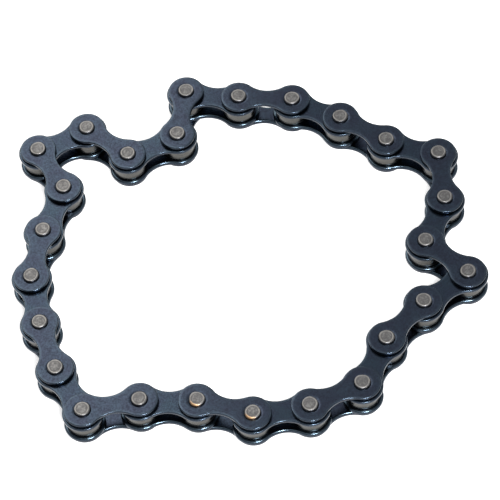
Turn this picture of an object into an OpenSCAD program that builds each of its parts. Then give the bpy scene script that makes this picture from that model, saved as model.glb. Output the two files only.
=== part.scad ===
/* [Chain] */
// Distance between neighbouring pin centres
pitch = 12.7; // [11.5:0.1:15]
// Clear width between the inner plates, where a sprocket tooth goes
inner_width = 3.3; // [2.4:0.1:6.4]
// Play between an inner plate and the outer plate beside it
side_play = 0.1; // [0.06:0.01:0.3]

/* [Outer plates] */
// Thickness of an outer plate
outer_plate_t = 1; // [0.8:0.05:1.6]
// Radius of an outer plate's two round heads
outer_head_r = 4.2; // [3.8:0.05:4.8]
// Half height of an outer plate at its waist
outer_waist = 2.15; // [1.6:0.05:3]

/* [Inner plates] */
// Thickness of an inner plate
inner_plate_t = 1; // [0.8:0.05:1.6]
// Radius of an inner plate's two round heads
inner_head_r = 4.65; // [4:0.05:5.2]
// Half height of an inner plate at its waist
inner_waist = 2.65; // [2:0.05:3.4]

/* [Edges] */
// Bevel round the outline of every plate
plate_bevel = 0.25; // [0.05:0.01:0.35]
// Bevel on the ends of every pin
pin_bevel = 0.2; // [0.05:0.01:0.35]
// Width of the flat rim round the dish in a peened pin end
pin_rim = 0.2; // [0.1:0.01:0.4]
// Depth of that dish
pin_dish = 0.06; // [0.03:0.01:0.1]
// Bevel on the ends of every roller
roller_bevel = 0.15; // [0.05:0.01:0.4]

/* [Pins, bushes and rollers] */
// Diameter of a pin
pin_d = 3.6; // [3:0.05:4]
// Length of a riveted pin end that stands proud of its plate
pin_proud = 0.55; // [0.45:0.05:1]
// Gap all round left between a pressed pin or bush and its hole, so that each stays a piece of its own
press_gap = 0.01; // [0.005:0.005:0.03]
// Gap all round between a pin and its bush
pin_gap = 0.05; // [0.03:0.01:0.1]
// Wall of a bush
bush_wall = 0.7; // [0.5:0.05:0.9]
// Length of a bush that stands proud of each inner plate
bush_proud = 0.04; // [0.01:0.01:0.05]
// Gap all round between a bush and its roller
roller_gap = 0.06; // [0.03:0.01:0.1]
// Diameter of a roller
roller_d = 7.75; // [7.3:0.05:8.4]
// Play between a roller's end and the inner plate beside it
roller_play = 0.1; // [0.05:0.01:0.3]

/* [Hidden] */
$fn = 64;
BLUED = [0.23, 0.27, 0.34];
BARE = [0.6, 0.59, 0.57];
WORN = [0.5, 0.49, 0.45];
OVER = 1;
BLEND = 0.02;
DISH_RUN = 2;

// Heading of the first link as the chain lies, and the turn at each later pin that is laid by hand,
// up to the joining link and from there on. The last two links close the loop by themselves, at any pitch.
FIRST_HEADING = -157;
TURNS_TO_JOINING = [93, -50, 10, 21, 7, 12, 70, -13, -14];
TURNS_BEYOND = [24, 17, 39, -16, -11, 100, -69, 27, 66, -14, 7, 21, -4, 91];
TURNS = concat(TURNS_TO_JOINING, TURNS_BEYOND);
LINKS = len(TURNS) + 3;

// The loop is closed by the joining link, and the inner link beside it is drawn piece by piece too
JOINING = len(TURNS_TO_JOINING) + 1;
BESIDE = JOINING + 1;
OUTER = [for (n = [2:2:LINKS]) if (n != JOINING) n];
INNER = [for (n = [1:2:LINKS]) if (n != BESIDE) n];

// Heights, from the lower pin ends up
low_outer_z = pin_proud;
low_inner_z = low_outer_z + outer_plate_t + side_play;
roller_z = low_inner_z + inner_plate_t + roller_play;
top_inner_z = low_inner_z + inner_plate_t + inner_width;
top_outer_z = top_inner_z + inner_plate_t + side_play;
pin_length = top_outer_z + outer_plate_t + pin_proud;
bush_z = low_inner_z - bush_proud;
bush_length = top_inner_z + inner_plate_t + bush_proud - bush_z;
roller_length = inner_width - 2 * roller_play;

// Radii that follow from each other, from the pin out
pin_r = pin_d / 2;
bush_bore_r = pin_r + pin_gap;
bush_r = bush_bore_r + bush_wall;
roller_bore_r = bush_r + roller_gap;

// Pin centres, link by link, and the one between the last two links, which closes the loop
function step(heading) = pitch * [cos(heading), sin(heading)];
function closing(a, b) =
    let (span = b - a, rise = sqrt(pitch * pitch / (span * span) - 1 / 4))
    (a + b) / 2 + rise * [-span.y, span.x];
headings = [for (i = 0, h = FIRST_HEADING; i <= len(TURNS); h = h + (i < len(TURNS) ? TURNS[i] : 0), i = i + 1) h];
laid = [for (i = 0, p = [0, 0]; i <= len(headings); p = p + (i < len(headings) ? step(headings[i]) : [0, 0]), i = i + 1) p];
loop = concat(laid, [closing(laid[len(laid) - 1], laid[0])]);
xs = [for (p = loop) p.x];
ys = [for (p = loop) p.y];
middle = [min(xs) + max(xs), min(ys) + max(ys)] / 2;
function pin_at(n) = loop[(n - 1) % LINKS] - middle;
function link_heading(n) = let (d = pin_at(n + 1) - pin_at(n)) atan2(d.y, d.x);

// Names of the nodes
function numbered(name, n) = str(name, n < 10 ? "_0" : "_", n);

// A round bar or tube standing on z = 0, with its outer edges bevelled
module turned(r, bore_r, length, bevel) {
    rotate_extrude()
        polygon([
            [bore_r, 0], [r - bevel, 0], [r, bevel],
            [r, length - bevel], [r - bevel, length], [bore_r, length]
        ]);
}

// What a plate's waist leaves out on one side: a round that flares at both faces, for the bevel
module waist_cutter(r, t) {
    flare = r + plate_bevel + OVER;
    rotate_extrude($fn = 2 * $fn)
        polygon([
            [0, -OVER], [flare, -OVER], [r, plate_bevel],
            [r, t - plate_bevel], [flare, t + OVER], [0, t + OVER]
        ]);
}

// A figure-eight link plate from pin to pin, lying on z = 0. The waist's rounds run into the heads by BLEND,
// so that each meets its head along a sharp line.
module plate(head_r, waist, t, hole_r) {
    near_r = head_r - BLEND;
    cut_r = (pitch * pitch / 4 + waist * waist - near_r * near_r) / (2 * (near_r - waist));
    cut_y = waist + cut_r;
    touch = [pitch / 2, cut_y] * head_r / norm([pitch / 2, cut_y]);
    difference() {
        union() {
            for (x = [0, pitch]) translate([x, 0, 0]) turned(head_r, 0, t, plate_bevel);
            translate([touch.x, -touch.y, 0]) cube([pitch - 2 * touch.x, 2 * touch.y, t]);
        }
        for (side = [-1, 1]) translate([pitch / 2, side * cut_y, 0]) waist_cutter(cut_r, t);
        for (x = [0, pitch]) translate([x, 0, -OVER]) cylinder(r = hole_r, h = t + 2 * OVER);
    }
}

module outer_plate() {
    color(BLUED) plate(outer_head_r, outer_waist, outer_plate_t, pin_r + press_gap);
}

module inner_plate() {
    color(BLUED) plate(inner_head_r, inner_waist, inner_plate_t, bush_r + press_gap);
}

// A pin with a shallow dish peened into each end, whose side runs in DISH_RUN times as far as it goes down
module pin() {
    rim_r = pin_r - pin_bevel;
    dish_r = rim_r - pin_rim;
    floor_r = dish_r - DISH_RUN * pin_dish;
    color(BARE) rotate_extrude()
        polygon([
            [0, pin_dish], [floor_r, pin_dish], [dish_r, 0], [rim_r, 0], [pin_r, pin_bevel],
            [pin_r, pin_length - pin_bevel], [rim_r, pin_length], [dish_r, pin_length],
            [floor_r, pin_length - pin_dish], [0, pin_length - pin_dish]
        ]);
}

module bush() {
    color(WORN) turned(bush_r, bush_bore_r, bush_length, 0);
}

module roller() {
    color(WORN) turned(roller_d / 2, roller_bore_r, roller_length, roller_bevel);
}

// Stands a piece on the first pin of link n, heading along the link, at height z
module on_link(n, z) {
    translate([pin_at(n).x, pin_at(n).y, z]) rotate(link_heading(n)) children();
}

// Stands a piece on each given pin, at height z
module at_pins(pins, z) {
    for (n = pins) translate([pin_at(n).x, pin_at(n).y, z]) children();
}

// Two plates riveted to two pins
module outer_link(n) {
    on_link(n, low_outer_z) outer_plate();
    on_link(n, top_outer_z) outer_plate();
    at_pins([n, n + 1], 0) pin();
}

// Two plates pressed on two bushes
module inner_link(n) {
    on_link(n, low_inner_z) inner_plate();
    on_link(n, top_inner_z) inner_plate();
    at_pins([n, n + 1], bush_z) bush();
}

on_link(JOINING, top_outer_z) outer_plate();
on_link(JOINING, low_outer_z) outer_plate();
at_pins([JOINING], 0) pin();
at_pins([JOINING + 1], 0) pin();
on_link(BESIDE, top_inner_z) inner_plate();
on_link(BESIDE, low_inner_z) inner_plate();
at_pins([BESIDE], bush_z) bush();
at_pins([BESIDE + 1], bush_z) bush();
for (n = OUTER) outer_link(n);
for (n = INNER) inner_link(n);
for (n = [1:LINKS]) at_pins([n], roller_z) roller();
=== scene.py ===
"""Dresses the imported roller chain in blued, riveted, pressed and turned steel, on a white table."""

from __future__ import annotations

import logging
import math
from collections.abc import Callable, Iterable
from dataclasses import dataclass, field, replace
from enum import Enum
from typing import Any, ClassVar

import bmesh
import bpy
from mathutils import Matrix, Vector, noise

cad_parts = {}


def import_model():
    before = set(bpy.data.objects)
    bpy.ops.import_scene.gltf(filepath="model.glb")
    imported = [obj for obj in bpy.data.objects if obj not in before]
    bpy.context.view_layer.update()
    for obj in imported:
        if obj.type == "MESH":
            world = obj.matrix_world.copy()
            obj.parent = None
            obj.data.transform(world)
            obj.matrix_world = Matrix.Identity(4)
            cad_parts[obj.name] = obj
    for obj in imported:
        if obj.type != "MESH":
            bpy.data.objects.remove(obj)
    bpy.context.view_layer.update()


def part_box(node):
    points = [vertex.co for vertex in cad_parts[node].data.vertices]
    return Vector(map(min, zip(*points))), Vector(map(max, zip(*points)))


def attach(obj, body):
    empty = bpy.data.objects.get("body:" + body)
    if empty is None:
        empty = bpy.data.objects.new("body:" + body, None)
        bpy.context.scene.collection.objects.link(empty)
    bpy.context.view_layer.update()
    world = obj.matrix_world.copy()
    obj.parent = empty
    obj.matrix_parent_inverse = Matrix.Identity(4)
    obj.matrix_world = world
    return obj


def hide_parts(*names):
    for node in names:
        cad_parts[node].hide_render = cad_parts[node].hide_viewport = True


LOG = logging.getLogger("chain")
MM = 0.001
LINKS = 26
JOINING = 10
BESIDE = 11
FULL_TURN = 2 * math.pi
COINCIDENT = 1e-7
ROUND_PROFILE = 0.5
OPAQUE = 1.0
COLUMN_WIDTH = 180

Colour = tuple[float, float, float]
Place = tuple[float, float, float]
Pair = tuple[float, float]
Socket = bpy.types.NodeSocket
Node = bpy.types.Node
Vert = bmesh.types.BMVert
Value = float | Colour | Socket


class Slot(Enum):
    """The record's material slots, one for each kind of piece."""

    PLATE = "plate_steel"
    PIN = "pin_steel"
    BUSH = "bush_steel"
    ROLLER = "roller_steel"


class Mark(Enum):
    """The vertex attributes that tell a material where on a piece it is."""

    RIM = "rim"
    # The sheared sides of the plates and the pins' sides below the lip, painted darker: partly oxide and
    # oil, partly painted shade.
    SHADED_WALL = "wall"
    GROOVE = "groove"
    COPPER = "copper"


@dataclass
class NodeTree:
    """A thin layer over a node tree that adds and joins nodes."""

    tree: bpy.types.NodeTree
    column: int = 0

    def add(self, kind: str, **settings: Any) -> Node:
        """Adds a node.

        Args:
            kind: The node's Blender type.
            settings: Properties to set on it.

        Returns:
            The new node.
        """
        node = self.tree.nodes.new(kind)
        node.location = (COLUMN_WIDTH * self.column, 0)
        self.column += 1
        for name, value in settings.items():
            setattr(node, name, value)
        return node

    def join(self, source: Socket, target: Socket) -> None:
        """Links an output socket to an input socket."""
        self.tree.links.new(source, target)

    def fill(self, socket: Socket, value: Value) -> None:
        """Puts a number, a colour or a link into an input socket.

        Args:
            socket: The input socket.
            value: A number, three colour components, or an output socket.
        """
        if isinstance(value, bpy.types.NodeSocket):
            self.join(value, socket)
        elif isinstance(value, tuple):
            socket.default_value = (*value, OPAQUE)
        else:
            socket.default_value = value

    def noise(self, place: Socket, scale: Value, detail: float) -> Socket:
        """Adds a noise texture.

        Args:
            place: The coordinates it reads.
            scale: Features per metre.
            detail: How many finer octaves it adds.

        Returns:
            The noise's value, about 0 to 1.
        """
        node = self.add("ShaderNodeTexNoise")
        self.join(place, node.inputs["Vector"])
        self.fill(node.inputs["Scale"], scale)
        node.inputs["Detail"].default_value = detail
        return node.outputs["Fac"]

    def spread(self, value: Socket, band: Pair, result: Pair) -> Socket:
        """Adds a smooth Map Range node.

        Args:
            value: What is mapped.
            band: The low and the high value between which the result changes.
            result: The result at the band's low and at its high end.

        Returns:
            The mapped value.
        """
        node = self.add("ShaderNodeMapRange", interpolation_type="SMOOTHSTEP")
        self.join(value, node.inputs["Value"])
        for name, number in zip(("From Min", "From Max", "To Min", "To Max"), band + result):
            self.fill(node.inputs[name], number)
        return node.outputs["Result"]

    def maths(self, operation: str, a: Value, b: Value) -> Socket:
        """Adds a Math node.

        Args:
            operation: What it does, such as MULTIPLY.
            a: The first number.
            b: The second number.

        Returns:
            Its value.
        """
        node = self.add("ShaderNodeMath", operation=operation)
        self.fill(node.inputs[0], a)
        self.fill(node.inputs[1], b)
        return node.outputs[0]

    def blend(self, share: Socket, a: Value, b: Value) -> Socket:
        """Adds a colour Mix node.

        Args:
            share: How much of b shows.
            a: The colour at share 0.
            b: The colour at share 1.

        Returns:
            The mixed colour.
        """
        node = self.add("ShaderNodeMix", data_type="RGBA")
        self.join(share, node.inputs["Factor"])
        self.fill(node.inputs["A"], a)
        self.fill(node.inputs["B"], b)
        return node.outputs["Result"]

    def mark(self, mark: Mark) -> Socket:
        """Reads one of the pieces' vertex attributes."""
        return self.add("ShaderNodeAttribute", attribute_name=mark.value).outputs["Fac"]


@dataclass
class SharedEffect:
    """A node group with named inputs and outputs, which several finishes use."""

    name: ClassVar[str]
    inputs: ClassVar[dict[str, str]]
    outputs: ClassVar[dict[str, str]]
    group: bpy.types.NodeTree | None = field(default=None, init=False)

    def wire(self, nodes: NodeTree, start: Node, end: Node) -> None:
        """Wires the effect.

        Args:
            nodes: The group's tree.
            start: The group's input node.
            end: The group's output node.
        """
        raise NotImplementedError

    def build(self) -> bpy.types.NodeTree:
        """Makes the group once.

        Returns:
            The node group.
        """
        if self.group is None:
            self.group = bpy.data.node_groups.new(self.name, "ShaderNodeTree")
            interface = self.group.interface
            for way, sockets in (("INPUT", self.inputs), ("OUTPUT", self.outputs)):
                for name, kind in sockets.items():
                    interface.new_socket(name=name, in_out=way, socket_type=f"NodeSocket{kind}")
            nodes = NodeTree(self.group)
            start = nodes.add("NodeGroupInput")
            self.wire(nodes, start, nodes.add("NodeGroupOutput"))
        return self.group

    def place(self, nodes: NodeTree, **values: Value) -> Node:
        """Adds the group to a material.

        Args:
            nodes: The material's tree.
            values: Numbers or sockets for the group's inputs, with _ for each space in a name.

        Returns:
            The group node.
        """
        node = nodes.add("ShaderNodeGroup", node_tree=self.build())
        for name, value in values.items():
            nodes.fill(node.inputs[name.replace("_", " ")], value)
        return node


@dataclass
class Mottle(SharedEffect):
    """A steel surface's slow drift of tone, its fine specks and their relief."""

    name = "mottle"
    inputs = {"Place": "Vector", "Drift Scale": "Float", "Speck Scale": "Float"}
    outputs = {"Drift": "Float", "Specks": "Float", "Relief": "Float"}
    drift_detail: float = 3.0
    drift_band: Pair = (0.35, 0.65)
    speck_detail: float = 5.0
    speck_band: Pair = (0.3, 0.7)

    def wire(self, nodes: NodeTree, start: Node, end: Node) -> None:
        """Wires a coarse and a fine noise.

        Args:
            nodes: The group's tree.
            start: The group's input node.
            end: The group's output node.
        """
        place = start.outputs["Place"]
        drift = nodes.noise(place, start.outputs["Drift Scale"], self.drift_detail)
        specks = nodes.noise(place, start.outputs["Speck Scale"], self.speck_detail)
        nodes.join(nodes.spread(drift, self.drift_band, (0.0, 1.0)), end.inputs["Drift"])
        nodes.join(nodes.spread(specks, self.speck_band, (0.0, 1.0)), end.inputs["Specks"])
        nodes.join(specks, end.inputs["Relief"])


@dataclass
class EdgeWear(SharedEffect):
    """The rubbed rim of a piece, or the darker ring in a groove, broken up by noise."""

    name = "edge wear"
    inputs = {"Place": "Vector", "Rim": "Float", "Break Scale": "Float"}
    outputs = {"Worn": "Float"}
    break_detail: float = 4.0
    break_band: Pair = (0.3, 0.6)
    least_wear: float = 0.45

    def wire(self, nodes: NodeTree, start: Node, end: Node) -> None:
        """Wires the breaks in the rim.

        Args:
            nodes: The group's tree.
            start: The group's input node.
            end: The group's output node.
        """
        breaks = nodes.noise(start.outputs["Place"], start.outputs["Break Scale"], self.break_detail)
        kept = nodes.spread(breaks, self.break_band, (self.least_wear, 1.0))
        nodes.join(nodes.maths("MULTIPLY", start.outputs["Rim"], kept), end.inputs["Worn"])


MOTTLE = Mottle()
EDGE_WEAR = EdgeWear()


@dataclass(frozen=True)
class SteelFinish:
    """A steel surface: its tones, its sheen, its grain and how its rim is rubbed.

    The scales are features per metre, and the relief is the grain's height.
    """

    name: str
    tone: Colour
    second_tone: Colour
    rim_tone: Colour
    smoothest: float
    roughest: float
    drift_scale: float
    speck_scale: float
    speck_tone: Colour
    speck_shade: float
    relief: float
    stretch: Place = (1.0, 1.0, 1.0)
    metal: float = 1.0
    shaded_wall_tone: Colour | None = None
    rim_sheen: float | None = None
    groove_tone: Colour | None = None
    copper_tone: Colour | None = None
    break_scale: float = 900.0
    groove_break_scale: float = 600.0

    def material(self) -> bpy.types.Material:
        """Builds the finish's material.

        Returns:
            The material.
        """
        material = bpy.data.materials.new(self.name)
        material.use_nodes = True
        material.node_tree.nodes.clear()
        nodes = NodeTree(material.node_tree)
        place = nodes.add("ShaderNodeTexCoord").outputs["Object"]
        mapping = nodes.add("ShaderNodeMapping")
        nodes.join(place, mapping.inputs["Vector"])
        mapping.inputs["Scale"].default_value = self.stretch
        grained = mapping.outputs["Vector"]
        mottle = MOTTLE.place(
            nodes, Place=grained, Drift_Scale=self.drift_scale, Speck_Scale=self.speck_scale
        )
        rim = nodes.mark(Mark.RIM)
        wear = EDGE_WEAR.place(nodes, Place=place, Rim=rim, Break_Scale=self.break_scale)
        worn = wear.outputs["Worn"]
        shader = nodes.add("ShaderNodeBsdfPrincipled")
        shader.inputs["Metallic"].default_value = self.metal
        nodes.join(self.colour(nodes, place, mottle, worn), shader.inputs["Base Color"])
        nodes.join(self.sheen(nodes, mottle, worn), shader.inputs["Roughness"])
        bump = nodes.add("ShaderNodeBump")
        bump.inputs["Distance"].default_value = self.relief
        nodes.join(mottle.outputs["Relief"], bump.inputs["Height"])
        nodes.join(bump.outputs["Normal"], shader.inputs["Normal"])
        nodes.join(shader.outputs["BSDF"], nodes.add("ShaderNodeOutputMaterial").inputs["Surface"])
        return material

    def colour(self, nodes: NodeTree, place: Socket, mottle: Node, worn: Socket) -> Socket:
        """Wires the base colour.

        Args:
            nodes: The material's tree.
            place: The piece's own coordinates.
            mottle: The placed mottle group.
            worn: How rubbed the surface is.

        Returns:
            The colour.
        """
        colour = nodes.blend(mottle.outputs["Drift"], self.tone, self.second_tone)
        shade = nodes.maths("MULTIPLY", mottle.outputs["Specks"], self.speck_shade)
        colour = nodes.blend(shade, colour, self.speck_tone)
        colour = nodes.blend(worn, colour, self.rim_tone)
        if self.groove_tone:
            # The groove is painted darker, broken up by noise.
            groove = nodes.mark(Mark.GROOVE)
            groove_darkening = EDGE_WEAR.place(nodes, Place=place, Rim=groove, Break_Scale=self.groove_break_scale)
            colour = nodes.blend(groove_darkening.outputs["Worn"], colour, self.groove_tone)
        # Sheared plate sides and pin sides below the lip are painted darker: partly oxide and oil,
        # partly painted shade.
        if self.shaded_wall_tone:
            colour = nodes.blend(nodes.mark(Mark.SHADED_WALL), colour, self.shaded_wall_tone)
        if self.copper_tone:
            colour = nodes.blend(nodes.mark(Mark.COPPER), colour, self.copper_tone)
        return colour

    def sheen(self, nodes: NodeTree, mottle: Node, worn: Socket) -> Socket:
        """Wires the roughness.

        Args:
            nodes: The material's tree.
            mottle: The placed mottle group.
            worn: How rubbed the surface is.

        Returns:
            The roughness.
        """
        rough = nodes.spread(mottle.outputs["Specks"], (0.0, 1.0), (self.smoothest, self.roughest))
        if self.rim_sheen is None:
            return rough
        fall = nodes.maths("SUBTRACT", rough, self.rim_sheen)
        return nodes.maths("SUBTRACT", rough, nodes.maths("MULTIPLY", fall, worn))


BLUED_OUTER = SteelFinish(
    name="blued outer plate",
    tone=(0.046, 0.0645, 0.094),
    second_tone=(0.0425, 0.054, 0.0825),
    rim_tone=(0.075, 0.107, 0.136),
    smoothest=0.2,
    roughest=0.27,
    drift_scale=260.0,
    speck_scale=2900.0,
    speck_tone=(0.017, 0.018, 0.027),
    speck_shade=0.66,
    relief=0.0022 * MM,
    # The sheared sides are darker: partly thicker oxide, partly painted shade.
    shaded_wall_tone=(0.021, 0.028, 0.041),
    rim_sheen=0.19,
)
BLUED_INNER = replace(
    BLUED_OUTER,
    name="blued inner plate",
    tone=(0.041, 0.0635, 0.090),
    second_tone=(0.0395, 0.0535, 0.0825),
)
RIVETED = SteelFinish(
    name="riveted pin steel",
    tone=(0.142, 0.142, 0.143),
    second_tone=(0.256, 0.255, 0.252),
    rim_tone=(0.268, 0.263, 0.254),
    smoothest=0.36,
    roughest=0.5,
    drift_scale=800.0,
    speck_scale=2600.0,
    speck_tone=(0.052, 0.051, 0.050),
    speck_shade=0.72,
    relief=0.02 * MM,
    # The side below the lip is darker: partly oil, partly painted shade.
    shaded_wall_tone=(0.140, 0.140, 0.146),
    rim_sheen=0.40,
    # The darker ring in the groove.
    groove_tone=(0.070, 0.067, 0.063),
)
JOINING_PIN = replace(RIVETED, name="joining pin steel", copper_tone=(0.60, 0.38, 0.21))
PRESSED = SteelFinish(
    name="bush steel",
    tone=(0.14, 0.135, 0.125),
    second_tone=(0.17, 0.16, 0.145),
    rim_tone=(0.24, 0.23, 0.21),
    smoothest=0.34,
    roughest=0.46,
    drift_scale=200.0,
    speck_scale=2500.0,
    speck_tone=(0.049, 0.047, 0.044),
    speck_shade=0.3,
    relief=0.01 * MM,
)
TURNED = SteelFinish(
    name="roller steel",
    tone=(0.081, 0.080, 0.076),
    second_tone=(0.070, 0.070, 0.067),
    rim_tone=(0.105, 0.102, 0.095),
    smoothest=0.2,
    roughest=0.32,
    drift_scale=120.0,
    speck_scale=900.0,
    speck_tone=(0.028, 0.028, 0.027),
    speck_shade=0.25,
    relief=0.012 * MM,
    stretch=(0.25, 0.25, 3.0),
)


def finished_mesh(bm: bmesh.types.BMesh, name: str) -> bpy.types.Mesh:
    """Turns a bmesh into a smooth mesh whose faces point outwards.

    Args:
        bm: The shape, which is freed.
        name: The mesh's name.

    Returns:
        The mesh.
    """
    bmesh.ops.remove_doubles(bm, verts=bm.verts[:], dist=COINCIDENT)
    bmesh.ops.recalc_face_normals(bm, faces=bm.faces[:])
    for face in bm.faces:
        face.smooth = True
    mesh = bpy.data.meshes.new(name)
    bm.to_mesh(mesh)
    bm.free()
    return mesh


def set_mark(mesh: bpy.types.Mesh, mark: Mark, rule: Callable[[Vector], float]) -> None:
    """Stores a vertex attribute that a rule works out from each vertex's place.

    Args:
        mesh: The mesh to mark.
        mark: The attribute.
        rule: Gives the value, 0 to 1, at a place.
    """
    values = [min(max(rule(v.co), 0.0), 1.0) for v in mesh.vertices]
    mesh.attributes.new(mark.value, "FLOAT", "POINT").data.foreach_set("value", values)


@dataclass(frozen=True)
class Plate:
    """A figure-eight link plate with its first pin hole at the origin.

    Punching rolls the edge of the upper face well round and leaves the lower one crisp.
    """

    name: str
    pitch: float
    head: float
    waist: float
    thickness: float
    hole: float
    rolled: float = 0.45 * MM
    crisp: float = 0.18 * MM
    hole_bevel: float = 0.12 * MM
    rim_fade: float = 0.24 * MM
    crisp_wear: float = 0.45
    head_steps: int = 24
    flank_steps: int = 9
    hole_steps: int = 48
    rounding_steps: int = 5
    hole_bevel_steps: int = 2
    corner_angle: float = math.radians(45)

    @property
    def half(self) -> float:
        """Gives how far each pin hole lies from the plate's middle."""
        return self.pitch / 2

    @property
    def flank(self) -> float:
        """Gives the radius of the hollow flank that runs into both heads."""
        return (self.half**2 + self.waist**2 - self.head**2) / (2 * (self.head - self.waist))

    def arc(self, bm: bmesh.types.BMesh, start: Vert, centre: Place, angle: float, steps: int) -> Vert:
        """Draws an arc of edges from a vertex.

        Args:
            bm: Where it is drawn.
            start: The arc's first vertex.
            centre: The arc's centre.
            angle: How far it turns, in radians.
            steps: How many edges it has.

        Returns:
            The arc's last vertex.
        """
        made = bmesh.ops.spin(bm, geom=[start], cent=centre, axis=(0, 0, 1), angle=angle, steps=steps)
        return next(item for item in made["geom_last"] if isinstance(item, Vert))

    def outline(self, bm: bmesh.types.BMesh) -> None:
        """Draws the outline round the plate's middle: a quarter from head to waist, mirrored twice.

        Args:
            bm: Where it is drawn.
        """
        reach = self.waist + self.flank
        turn = math.atan2(reach, self.half)
        tip = bm.verts.new((-self.half - self.head, 0, 0))
        touch = self.arc(bm, tip, (-self.half, 0, 0), turn - math.pi, self.head_steps)
        self.arc(bm, touch, (0, reach, 0), math.pi / 2 - turn, self.flank_steps)
        for axis in "YX":
            bmesh.ops.mirror(bm, geom=bm.verts[:] + bm.edges[:], merge_dist=COINCIDENT, axis=axis)
        bmesh.ops.remove_doubles(bm, verts=bm.verts[:], dist=COINCIDENT)

    def mesh(self) -> bpy.types.Mesh:
        """Builds the plate.

        Returns:
            Its mesh, with its first pin hole at the origin and its lower face on z = 0.
        """
        bm = bmesh.new()
        self.outline(bm)
        for side in (-self.half, self.half):
            middle = Matrix.Translation((side, 0, 0))
            bmesh.ops.create_circle(bm, segments=self.hole_steps, radius=self.hole, matrix=middle)
        bmesh.ops.triangle_fill(bm, use_beauty=True, edges=bm.edges[:])
        bmesh.ops.inset_region(
            bm, faces=bm.faces[:], thickness=self.rolled + self.rim_fade,
            use_boundary=True, use_even_offset=True,
        )
        raised = bmesh.ops.extrude_face_region(bm, geom=bm.faces[:])["geom"]
        top = [item for item in raised if isinstance(item, Vert)]
        bmesh.ops.translate(bm, vec=(0, 0, self.thickness), verts=top)
        bmesh.ops.recalc_face_normals(bm, faces=bm.faces[:])
        self.round_edges(bm)
        bmesh.ops.translate(bm, vec=(self.half, 0, 0), verts=bm.verts[:])
        mesh = finished_mesh(bm, self.name)
        set_mark(mesh, Mark.RIM, self.rim)
        set_mark(mesh, Mark.SHADED_WALL, self.wall)
        return mesh

    def round_edges(self, bm: bmesh.types.BMesh) -> None:
        """Rounds the outline's edges, the upper ones more, and breaks the edges of the holes.

        Args:
            bm: The plate, still with its middle at the origin.
        """
        corners = {edge for edge in bm.edges if self.is_corner(edge)}
        holes = {edge for edge in corners if self.beside_hole(edge)}
        upper = {edge for edge in corners - holes if self.is_upper(edge.verts[0].co)}
        for edges, offset, steps in (
            (upper, self.rolled, self.rounding_steps),
            (corners - holes - upper, self.crisp, self.rounding_steps),
            (holes, self.hole_bevel, self.hole_bevel_steps),
        ):
            bmesh.ops.bevel(
                bm, geom=list(edges), offset=offset, offset_type="OFFSET", segments=steps,
                profile=ROUND_PROFILE, affect="EDGES", clamp_overlap=True, material=-1,
            )

    def is_corner(self, edge: bmesh.types.BMEdge) -> bool:
        """Tells whether an edge lies between a face of the plate and its side."""
        return edge.verts[0].co.z == edge.verts[1].co.z and edge.calc_face_angle() > self.corner_angle

    def beside_hole(self, edge: bmesh.types.BMEdge) -> bool:
        """Tells whether an edge is a pin hole's."""
        place = edge.verts[0].co
        return math.hypot(abs(place.x) - self.half, place.y) < self.hole + self.hole_bevel

    def inside(self, place: Vector) -> float:
        """Gives how far inside the outline a place lies, seen from above.

        Args:
            place: A place on the finished plate.

        Returns:
            Its distance from the nearer head's or flank's arc.
        """
        x, y, reach = abs(place.x - self.half), abs(place.y), self.waist + self.flank
        if self.half * (y - reach) + reach * x > 0:
            return self.head - math.hypot(x - self.half, y)
        return math.hypot(x, y - reach) - self.flank

    def is_upper(self, place: Vector) -> bool:
        """Tells whether a place lies nearer the upper face."""
        return place.z > self.thickness / 2

    def rounding(self, place: Vector) -> float:
        """Gives how far the nearer face's edge is rounded."""
        return self.rolled if self.is_upper(place) else self.crisp

    def rim(self, place: Vector) -> float:
        """Gives how rubbed a place near the outline is, which is less beside the crisp edge."""
        near = 1 - max(self.inside(place) - self.rounding(place), 0) / self.rim_fade
        return near if self.is_upper(place) else self.crisp_wear * near

    def wall(self, place: Vector) -> float:
        """Gives how much a place belongs to the sheared side, which is painted darker: partly oxide,
        partly painted shade.
        """
        depth, rounding = min(place.z, self.thickness - place.z), self.rounding(place)
        return depth / rounding if self.inside(place) < rounding else 0.0


@dataclass(frozen=True)
class Corner:
    """A corner of a turned piece's profile: its radius, its height and how far it is rounded."""

    radius: float
    height: float
    rounding: float = 0.0


@dataclass(frozen=True)
class TurnedPiece:
    """A piece turned about its own axis, standing on z = 0."""

    name: str
    closed: ClassVar[bool] = True
    turn_steps: ClassVar[int] = 64
    rounding_steps: ClassVar[int] = 4

    def corners(self) -> list[Corner]:
        """Gives the corners of the profile, in order."""
        raise NotImplementedError

    def rim(self, place: Vector) -> float:
        """Gives how much a place belongs to the rubbed rim."""
        raise NotImplementedError

    def wall(self, place: Vector) -> float:
        """Gives how much a place belongs to the side painted darker, partly as painted shade; none here.
        """
        return 0.0

    def marks(self) -> dict[Mark, Callable[[Vector], float]]:
        """Gives the rule for each attribute that the piece carries."""
        return {Mark.RIM: self.rim, Mark.SHADED_WALL: self.wall}

    def mesh(self) -> bpy.types.Mesh:
        """Rounds the profile's corners and spins it.

        Returns:
            The piece's mesh.
        """
        bm = bmesh.new()
        corners = self.corners()
        verts = [bm.verts.new((corner.radius, 0, corner.height)) for corner in corners]
        loop = verts + verts[:1] if self.closed else verts
        for pair in zip(loop, loop[1:]):
            bm.edges.new(pair)
        for vert, corner in zip(verts, corners):
            if corner.rounding:
                bmesh.ops.bevel(
                    bm, geom=[vert], offset=corner.rounding, offset_type="OFFSET",
                    segments=self.rounding_steps, profile=ROUND_PROFILE, affect="VERTICES",
                    clamp_overlap=False, material=-1,
                )
        bmesh.ops.spin(
            bm, geom=bm.verts[:] + bm.edges[:], cent=(0, 0, 0), axis=(0, 0, 1), angle=FULL_TURN,
            steps=self.turn_steps, use_merge=True,
        )
        mesh = finished_mesh(bm, self.name)
        for mark, rule in self.marks().items():
            set_mark(mesh, mark, rule)
        return mesh


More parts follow.
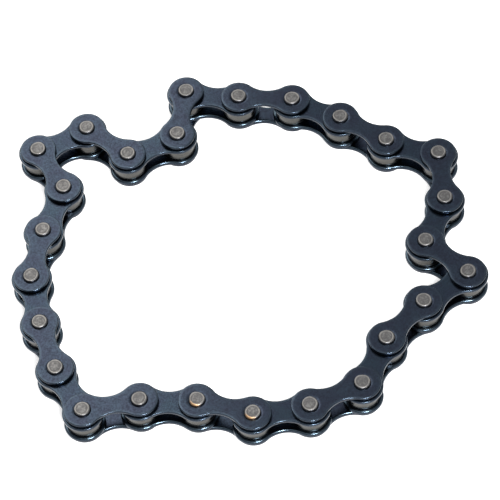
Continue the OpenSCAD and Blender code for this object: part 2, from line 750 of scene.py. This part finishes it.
@dataclass(frozen=True)
class Pin(TurnedPiece):
    """A pin with peened ends: a shallow dish, a groove round it painted darker, and a raised lip."""

    closed: ClassVar[bool] = False
    radius: float
    length: float
    dish: float = 0.02 * MM
    groove_depth: float = 0.04 * MM
    floor_share: float = 0.58
    groove_share: float = 0.68
    lip_share: float = 0.79
    rounding: float = 0.25 * MM
    bright_depth: float = 0.06 * MM

    def corners(self) -> list[Corner]:
        """Gives the corners of the profile, from the lower end's middle to the upper end's middle."""
        lower = [
            Corner(0, self.dish),
            Corner(self.floor_share * self.radius, self.dish, self.groove_depth),
            Corner(self.groove_share * self.radius, self.groove_depth, self.groove_depth),
            Corner(self.lip_share * self.radius, 0, self.groove_depth),
        ]
        side = [Corner(self.radius, 0, self.rounding), Corner(self.radius, self.length, self.rounding)]
        upper = [Corner(c.radius, self.length - c.height, c.rounding) for c in reversed(lower)]
        return lower + side + upper

    def share(self, place: Vector) -> float:
        """Gives how far out a place lies, as a share of the radius."""
        return math.hypot(place.x, place.y) / self.radius

    def rim(self, place: Vector) -> float:
        """Gives how much a place belongs to the raised lip."""
        return (self.share(place) - self.groove_share) / (self.lip_share - self.groove_share)

    def groove(self, place: Vector) -> float:
        """Gives how much a place belongs to the groove."""
        return 1 - abs(self.share(place) - self.groove_share) / (self.lip_share - self.groove_share)

    def marks(self) -> dict[Mark, Callable[[Vector], float]]:
        """Gives the rule for each attribute, the groove's too."""
        return super().marks() | {Mark.GROOVE: self.groove}

    def wall(self, place: Vector) -> float:
        """Gives how much a place belongs to the steel lower than the bright lip, painted darker: partly
        oil, partly painted shade.
        """
        return min(place.z, self.length - place.z) / self.bright_depth


@dataclass(frozen=True)
class Tube(TurnedPiece):
    """A bush or a roller: a short tube with rounded ends."""

    radius: float
    bore: float
    length: float
    rounding: float
    bore_rounding: float = 0.12 * MM

    def corners(self) -> list[Corner]:
        """Gives the corners of the profile."""
        return [
            Corner(self.bore, 0, self.bore_rounding),
            Corner(self.radius, 0, self.rounding),
            Corner(self.radius, self.length, self.rounding),
            Corner(self.bore, self.length, self.bore_rounding),
        ]

    def rim(self, place: Vector) -> float:
        """Gives how much a place belongs to the rounded ends."""
        return 1 - min(place.z, self.length - place.z) / (2 * self.rounding)


@dataclass(frozen=True)
class Peening:
    """The hammering that leaves a pin's two ends a little out of round, each its own way.

    It fades out at its depth from an end. Its throw is the largest move, as a share of a place's
    distance from the axis, and its lumps are counted per metre.
    """

    pin: Vector
    ends: Pair
    depth: float = 0.22 * MM
    throw: float = 0.13
    lumps: float = 520.0

    def shift(self, place: Vector) -> Vector:
        """Gives how far a place moves.

        Args:
            place: A place on the pin.

        Returns:
            Its move, straight out from the pin's axis or in towards it.
        """
        out = Vector((*(place - self.pin).xy, 0))
        low, high = self.ends
        near = 1 - min(place.z - low, high - place.z) / self.depth
        return max(near, 0) * self.throw * noise.noise(self.lumps * place) * out

    def strike(self, mesh: bpy.types.Mesh) -> None:
        """Peens a pin's mesh."""
        for vert in mesh.vertices:
            vert.co += self.shift(vert.co)


@dataclass(frozen=True)
class CopperArc:
    """The coppery arc rubbed into one side of a joining pin's lip."""

    pin: Vector
    radius: float
    toward: Pair = (-0.45, -0.89)
    inner_share: float = 0.78
    start: float = 0.6
    fade: float = 0.4

    def strength(self, place: Vector) -> float:
        """Gives how coppery a place is.

        Args:
            place: A place on the pin.

        Returns:
            0 for bare steel, up to 1 for copper.
        """
        out = (place - self.pin).xy
        if out.length < self.inner_share * self.radius:
            return 0.0
        return (out.normalized().dot(Vector(self.toward)) - self.start) / self.fade


@dataclass
class Span:
    """Where a CAD node lies: its lowest and highest corners."""

    node: str

    def __post_init__(self) -> None:
        """Reads the node's box."""
        self.low, self.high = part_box(self.node)

    @property
    def size(self) -> Vector:
        """Gives the box's three sides."""
        return self.high - self.low

    @property
    def middle(self) -> Vector:
        """Gives the box's middle."""
        return (self.low + self.high) / 2


class Measures:
    """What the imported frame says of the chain: pin centres, heights and radii."""

    def __init__(self) -> None:
        """Reads the boxes of the rollers, and of the two links that lie apart in the CAD."""
        self.rollers = [Span(f"roller_{number:02d}") for number in range(1, LINKS + 1)]
        self.pitch = (self.pin(JOINING + 1) - self.pin(JOINING)).length
        beside = f"inner_link_{BESIDE}"
        self.outer_plates = (Span("joining_link_top_plate"), Span("joining_link_bottom_plate"))
        self.inner_plates = (Span(f"{beside}_top_plate"), Span(f"{beside}_bottom_plate"))
        self.pin_span = Span("joining_link_first_pin")
        self.bush_span = Span(f"{beside}_first_bush")

    def pin(self, number: int) -> Vector:
        """Gives the middle of a pin, counted round the loop from 1."""
        return self.rollers[(number - 1) % LINKS].middle

    def head(self, plate: Span, link: int) -> float:
        """Works out a plate's head radius from its box.

        Args:
            plate: The plate's box.
            link: The plate's link.

        Returns:
            The radius of its two heads.
        """
        along = self.pin(link + 1) - self.pin(link)
        return (plate.size.x - abs(along.x)) / 2


@dataclass
class Pattern:
    """A kind of piece: its mesh at the origin, its finish and its slot."""

    mesh: bpy.types.Mesh
    finish: bpy.types.Material
    slot: Slot
    flat_weight: ClassVar[int] = 100

    def put(self, name: str, body: str, node: str, place: Matrix) -> bpy.types.Object:
        """Copies the pattern to its place in the frame and ties it to its body.

        Args:
            name: The piece's name.
            body: The body that it rides on.
            node: The CAD node that it stands for.
            place: Where it goes, which is put into its mesh.

        Returns:
            The new piece, whose object stays at the origin.
        """
        mesh = self.mesh.copy()
        mesh.name = name
        mesh.transform(place)
        mesh.materials.append(self.finish)
        piece = bpy.data.objects.new(name, mesh)
        bpy.context.scene.collection.objects.link(piece)
        piece.modifiers.new("even normals", "WEIGHTED_NORMAL").weight = self.flat_weight
        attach(piece, body)
        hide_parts(node)
        LOG.info("%s rides on %s", name, body)
        return piece


@dataclass
class Stock:
    """One pattern of each kind of piece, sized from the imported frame."""

    measures: Measures
    outer_waist: float = 2.15 * MM
    inner_waist: float = 2.65 * MM
    bush_bore: float = 1.85 * MM
    bush_rounding: float = 0.12 * MM
    roller_bore: float = 2.61 * MM
    roller_rounding: float = 0.28 * MM

    def __post_init__(self) -> None:
        """Makes the patterns."""
        m = self.measures
        pin, bush, roller = m.pin_span.size, m.bush_span.size, m.rollers[0].size
        outer, inner = m.outer_plates[0], m.inner_plates[0]
        outer_plate = Plate(
            "outer plate", m.pitch, m.head(outer, JOINING), self.outer_waist, outer.size.z, pin.x / 2
        )
        inner_plate = Plate(
            "inner plate", m.pitch, m.head(inner, BESIDE), self.inner_waist, inner.size.z, bush.x / 2
        )
        rivet = Pin("pin", pin.x / 2, pin.z).mesh()
        sleeve = Tube("bush", bush.x / 2, self.bush_bore, bush.z, self.bush_rounding)
        tyre = Tube("roller", roller.x / 2, self.roller_bore, roller.z, self.roller_rounding)
        self.outer_plate = Pattern(outer_plate.mesh(), BLUED_OUTER.material(), Slot.PLATE)
        self.inner_plate = Pattern(inner_plate.mesh(), BLUED_INNER.material(), Slot.PLATE)
        self.pin = Pattern(rivet, RIVETED.material(), Slot.PIN)
        self.joining_pin = Pattern(rivet, JOINING_PIN.material(), Slot.PIN)
        self.bush = Pattern(sleeve.mesh(), PRESSED.material(), Slot.BUSH)
        self.roller = Pattern(tyre.mesh(), TURNED.material(), Slot.ROLLER)

    def clear(self) -> None:
        """Removes the patterns' own meshes, once every piece has its copy."""
        for pattern in (self.outer_plate, self.inner_plate, self.pin, self.bush, self.roller):
            bpy.data.meshes.remove(pattern.mesh)


@dataclass
class Link:
    """One link of the chain: two plates, and two pins or bushes between them."""

    stock: Stock
    number: int
    kind: ClassVar[str]
    holder: ClassVar[str]
    apart: ClassVar[bool] = False

    def __post_init__(self) -> None:
        """Finds the link's two pins in the frame."""
        self.start = self.stock.measures.pin(self.number)
        self.end = self.stock.measures.pin(self.number + 1)

    @property
    def body(self) -> str:
        """Gives the name of the link's body."""
        return f"{self.kind}_link_{self.number:02d}"

    def plates(self) -> tuple[Pattern, tuple[Span, Span]]:
        """Gives the plates' pattern, and where the top and the bottom plate lie."""
        raise NotImplementedError

    def holders(self) -> tuple[Pattern, Span]:
        """Gives the pattern of the pins or bushes, and where one lies."""
        raise NotImplementedError

    def upright(self, height: float) -> Matrix:
        """Gives the move from the origin to a height over the link's first pin hole."""
        return Matrix.Translation((*self.start.xy, height))

    def put(self, pattern: Pattern, part: str, place: Matrix) -> bpy.types.Object:
        """Lays one of the link's pieces.

        Args:
            pattern: The kind of piece.
            part: The piece's name within the link.
            place: Where it goes.

        Returns:
            The piece.
        """
        node = f"{self.body}_{part}" if self.apart else self.body
        return pattern.put(f"{self.body}_{part}_finished", self.body, node, place)

    def build(self) -> None:
        """Lays the link's two plates, rolled edges inwards, and its two pins or bushes."""
        along = self.end - self.start
        heading = Matrix.Rotation(math.atan2(along.y, along.x), 4, "Z")
        turned_over = Matrix.Rotation(math.pi, 4, "X")
        pattern, (top, bottom) = self.plates()
        self.put(pattern, "top_plate", self.upright(top.high.z) @ heading @ turned_over)
        self.put(pattern, "bottom_plate", self.upright(bottom.low.z) @ heading)
        pattern, span = self.holders()
        for order, pin in (("first", self.start), ("second", self.end)):
            place = Matrix.Translation((*pin.xy, span.low.z))
            self.finish(self.put(pattern, f"{order}_{self.holder}", place), pin)

    def finish(self, holder: bpy.types.Object, pin: Vector) -> None:
        """Leaves a pin or bush as it is, unless the kind of link has more to do to it."""


class OuterLink(Link):
    """A link of two outer plates riveted to two pins."""

    kind = "outer"
    holder = "pin"

    def plates(self) -> tuple[Pattern, tuple[Span, Span]]:
        """Gives the outer plates."""
        return self.stock.outer_plate, self.stock.measures.outer_plates

    def holders(self) -> tuple[Pattern, Span]:
        """Gives the riveted pins."""
        return self.stock.pin, self.stock.measures.pin_span

    def finish(self, holder: bpy.types.Object, pin: Vector) -> None:
        """Peens the pin's ends.

        Args:
            holder: The pin.
            pin: Its middle.
        """
        span = self.stock.measures.pin_span
        Peening(pin, (span.low.z, span.high.z)).strike(holder.data)


class JoiningLink(OuterLink):
    """The outer link that closes the loop, with traces of copper on its pins."""

    apart = True

    @property
    def body(self) -> str:
        """Gives the name of the joining link's body."""
        return "joining_link"

    def holders(self) -> tuple[Pattern, Span]:
        """Gives the joining pins."""
        return self.stock.joining_pin, self.stock.measures.pin_span

    def finish(self, holder: bpy.types.Object, pin: Vector) -> None:
        """Peens the pin's ends and marks the coppery side of its lip.

        Args:
            holder: The pin.
            pin: Its middle.
        """
        super().finish(holder, pin)
        arc = CopperArc(pin, self.stock.measures.pin_span.size.x / 2)
        set_mark(holder.data, Mark.COPPER, arc.strength)


class InnerLink(Link):
    """A link of two inner plates pressed onto two bushes."""

    kind = "inner"
    holder = "bush"

    @property
    def apart(self) -> bool:
        """Tells whether the CAD holds the link's pieces as nodes of their own."""
        return self.number == BESIDE

    def plates(self) -> tuple[Pattern, tuple[Span, Span]]:
        """Gives the inner plates."""
        return self.stock.inner_plate, self.stock.measures.inner_plates

    def holders(self) -> tuple[Pattern, Span]:
        """Gives the bushes."""
        return self.stock.bush, self.stock.measures.bush_span


@dataclass
class Roller:
    """A roller that turns on a bush."""

    stock: Stock
    number: int

    def build(self) -> None:
        """Lays the roller."""
        body = f"roller_{self.number:02d}"
        span = self.stock.measures.rollers[self.number - 1]
        place = Matrix.Translation((*span.middle.xy, span.low.z))
        self.stock.roller.put(f"{body}_finished", body, body, place)


@dataclass
class Chain:
    """The whole chain: its links and rollers in order round the loop."""

    stock: Stock

    def link(self, number: int) -> Link:
        """Gives a link of the right kind: inner ones have odd numbers."""
        if number % 2:
            return InnerLink(self.stock, number)
        return (JoiningLink if number == JOINING else OuterLink)(self.stock, number)

    def build(self) -> None:
        """Lays every link and roller."""
        for number in range(1, LINKS + 1):
            self.link(number).build()
            Roller(self.stock, number).build()
        self.stock.clear()
        LOG.info("the chain has %d links", LINKS)


@dataclass(frozen=True)
class Lamp:
    """A soft area lamp that looks at a point."""

    name: str
    place: Place
    width: float
    height: float
    watts: float
    aim: Place = (0.0, 0.0, 0.0)
    tint: Colour = (1.0, 1.0, 1.0)

    def build(self) -> None:
        """Hangs the lamp."""
        data = bpy.data.lights.new(self.name, "AREA")
        data.shape = "RECTANGLE"
        data.size, data.size_y = self.width, self.height
        data.energy = self.watts
        data.color = self.tint
        lamp = bpy.data.objects.new(self.name, data)
        lamp.location = self.place
        lamp.rotation_euler = (Vector(self.aim) - Vector(self.place)).to_track_quat("-Z", "Y").to_euler()
        bpy.context.scene.collection.objects.link(lamp)
        LOG.info("%s hangs at %s", self.name, self.place)


@dataclass(frozen=True)
class Viewpoint:
    """The camera, at the photograph's angle."""

    focal_length: float = 180.3
    sensor: float = 36.0
    aim: Place = (0.82 * MM, -2.65 * MM, 8.6 * MM)
    distance: float = 569.2 * MM
    elevation: float = math.radians(56.27)
    roll: float = math.radians(-5.36)
    clip: Pair = (0.01, 20.0)

    def build(self) -> None:
        """Places the camera."""
        data = bpy.data.cameras.new("camera")
        data.lens, data.sensor_width = self.focal_length, self.sensor
        data.clip_start, data.clip_end = self.clip
        camera = bpy.data.objects.new("camera", data)
        back = Vector((0, -math.cos(self.elevation), math.sin(self.elevation)))
        turn = Matrix.Rotation(math.pi / 2 - self.elevation, 4, "X") @ Matrix.Rotation(self.roll, 4, "Z")
        camera.matrix_world = Matrix.Translation(Vector(self.aim) + self.distance * back) @ turn
        bpy.context.scene.collection.objects.link(camera)
        bpy.context.scene.camera = camera
        LOG.info("the camera stands %.3f m from the chain", self.distance)


@dataclass(frozen=True)
class Studio:
    """The white table, the even light and the lamps."""

    table_side: float = 8.0
    table_tone: Colour = (0.82, 0.82, 0.82)
    table_glow: float = 0.6
    sky_tone: Colour = (1.0, 1.0, 1.0)
    sky_strength: float = 0.42
    lamps: tuple[Lamp, ...] = (
        Lamp("back panel", place=(0.0, 0.75, 1.0), width=1.2, height=0.9, watts=1.0),
        Lamp("top panel", place=(0.0, 0.0, 1.0), width=0.6, height=0.6, watts=1.1),
        Lamp(
            "back softbox", place=(-0.165, 0.24, 0.36), width=0.3, height=0.35, watts=0.66,
            aim=(-0.21, 0.0, 0.0), tint=(1.0, 0.95, 0.88),
        ),
        Lamp("front lamp", place=(0.082, -0.333, 0.45), width=0.13, height=0.08, watts=3.6),
    )

    def table_material(self) -> bpy.types.Material:
        """Builds the table's white, which glows a little where it is seen, also in metal.

        Returns:
            The material.
        """
        material = bpy.data.materials.new("table")
        material.use_nodes = True
        material.node_tree.nodes.clear()
        nodes = NodeTree(material.node_tree)
        rays = nodes.add("ShaderNodeLightPath").outputs
        seen = nodes.maths("MAXIMUM", rays["Is Camera Ray"], rays["Is Glossy Ray"])
        glow = nodes.add("ShaderNodeEmission")
        nodes.join(nodes.maths("MULTIPLY", seen, self.table_glow), glow.inputs["Strength"])
        paint = nodes.add("ShaderNodeBsdfDiffuse")
        nodes.fill(paint.inputs["Color"], self.table_tone)
        both = nodes.add("ShaderNodeAddShader")
        nodes.join(glow.outputs["Emission"], both.inputs[0])
        nodes.join(paint.outputs["BSDF"], both.inputs[1])
        nodes.join(both.outputs["Shader"], nodes.add("ShaderNodeOutputMaterial").inputs["Surface"])
        return material

    def build_table(self) -> None:
        """Lays the table under the chain."""
        bm = bmesh.new()
        bmesh.ops.create_grid(bm, x_segments=1, y_segments=1, size=self.table_side / 2)
        mesh = finished_mesh(bm, "table")
        mesh.materials.append(self.table_material())
        table = bpy.data.objects.new("table", mesh)
        bpy.context.scene.collection.objects.link(table)

    def build(self) -> None:
        """Sets up the table, the world's even light and the lamps."""
        self.build_table()
        world = bpy.data.worlds.new("studio")
        world.use_nodes = True
        sky = world.node_tree.nodes["Background"]
        sky.inputs["Color"].default_value = (*self.sky_tone, OPAQUE)
        sky.inputs["Strength"].default_value = self.sky_strength
        bpy.context.scene.world = world
        for lamp in self.lamps:
            lamp.build()
        bpy.context.scene.view_settings.view_transform = "Standard"


def main() -> None:
    """Loads the frame, builds the chain on it and sets the studio round it."""
    logging.basicConfig(level=logging.INFO, format="%(name)s: %(message)s")
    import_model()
    Chain(Stock(Measures())).build()
    Studio().build()
    Viewpoint().build()


if __name__ == "__main__":
    main()
